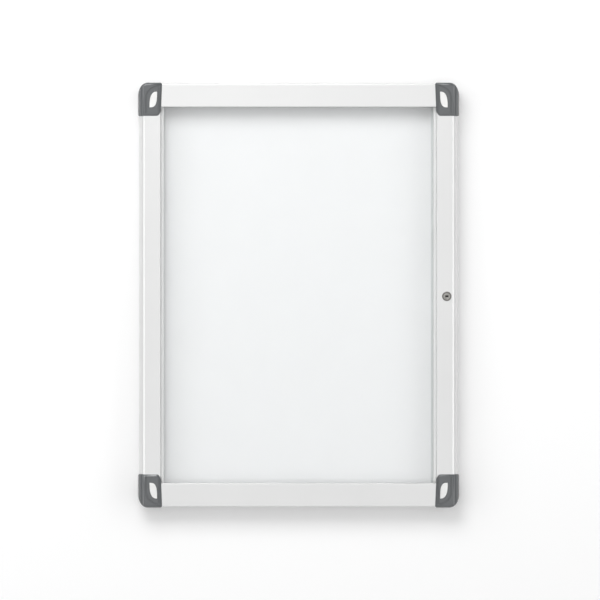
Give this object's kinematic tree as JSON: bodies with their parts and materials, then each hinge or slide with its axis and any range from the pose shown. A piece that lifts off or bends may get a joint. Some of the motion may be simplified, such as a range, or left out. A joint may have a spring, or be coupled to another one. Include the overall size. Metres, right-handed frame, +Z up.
{
  "type": "lockable notice board",
  "caption": "Wall-mounted lockable notice board: shallow case with white back panel, hinged glazed door in aluminium profiles with moulded corner caps, and a cam lock.",
  "frame": {"origin": "on the wall plane, in the middle of the four wall holes", "axes": "+X to the viewer's right, +Y into the wall, +Z up"},
  "size_m": [0.53, 0.0418, 0.7],
  "materials": {
    "profile_aluminium": "satin anodised",
    "strike_aluminium": "satin anodised",
    "cap_plastic": "fine moulded texture",
    "block_plastic": "moulded",
    "inlay_plastic": "smooth",
    "panel_white": "white enamel",
    "panel_core": "fibreboard",
    "panel_rear_steel": "galvanised sheet",
    "pane_clear": "clear",
    "gasket_rubber": "matt",
    "seal_foam": "closed-cell foam",
    "lock_nickel": "satin nickel plated",
    "zinc_steel": "zinc plated"
  },
  "bodies": {
    "case": {"case_block_bottom_left": "block_plastic", "case_block_bottom_right": "block_plastic", "case_block_top_left": "block_plastic", "case_block_top_right": "block_plastic", "case_profile_bottom": "profile_aluminium", "case_profile_left": "profile_aluminium", "case_profile_right": "profile_aluminium", "case_profile_top": "profile_aluminium", "clamp_screws": "zinc_steel", "clamp_strip": "strike_aluminium", "hinge_case_leaf_lower": "zinc_steel", "hinge_case_leaf_upper": "zinc_steel", "hinge_case_screws": "zinc_steel", "hinge_pin_lower": "zinc_steel", "hinge_pin_upper": "zinc_steel", "panel_core": "panel_core", "panel_face_sheet": "panel_white", "panel_rear_sheet": "panel_rear_steel", "seal_bottom": "seal_foam", "seal_hinge_side": "seal_foam", "seal_lock_side": "seal_foam", "seal_top": "seal_foam", "strike_plate": "strike_aluminium", "strike_screws": "zinc_steel"},
    "door": {"corner_cap_bottom_left": "cap_plastic", "corner_cap_bottom_right": "cap_plastic", "corner_cap_top_left": "cap_plastic", "corner_cap_top_right": "cap_plastic", "door_corner_screws": "zinc_steel", "door_rail_bottom": "profile_aluminium", "door_rail_top": "profile_aluminium", "door_stile_left": "profile_aluminium", "door_stile_right": "profile_aluminium", "gasket_bottom": "gasket_rubber", "gasket_left": "gasket_rubber", "gasket_right": "gasket_rubber", "gasket_top": "gasket_rubber", "hinge_door_leaf_lower": "zinc_steel", "hinge_door_leaf_upper": "zinc_steel", "hinge_door_screws": "zinc_steel", "leaf_inlay_bottom_left": "inlay_plastic", "leaf_inlay_bottom_right": "inlay_plastic", "leaf_inlay_top_left": "inlay_plastic", "leaf_inlay_top_right": "inlay_plastic", "lock_barrel": "lock_nickel", "lock_nut": "lock_nickel", "pane": "pane_clear"},
    "lock": {"cam_screw": "zinc_steel", "lock_cam": "zinc_steel", "lock_plug": "lock_nickel"}
  },
  "joints": [
    {"name": "door_hinge", "type": "hinge", "parent": "case", "child": "door", "pos_m": [-0.2592, -0.0148, 0], "axis": [0, 0, -1], "range_deg": [0, 110]},
    {"name": "lock_turn", "type": "hinge", "parent": "door", "child": "lock", "pos_m": [0.2439, -0.0148, -0.002], "axis": [0, 1, 0], "range_deg": [0, 90]}
  ]
}
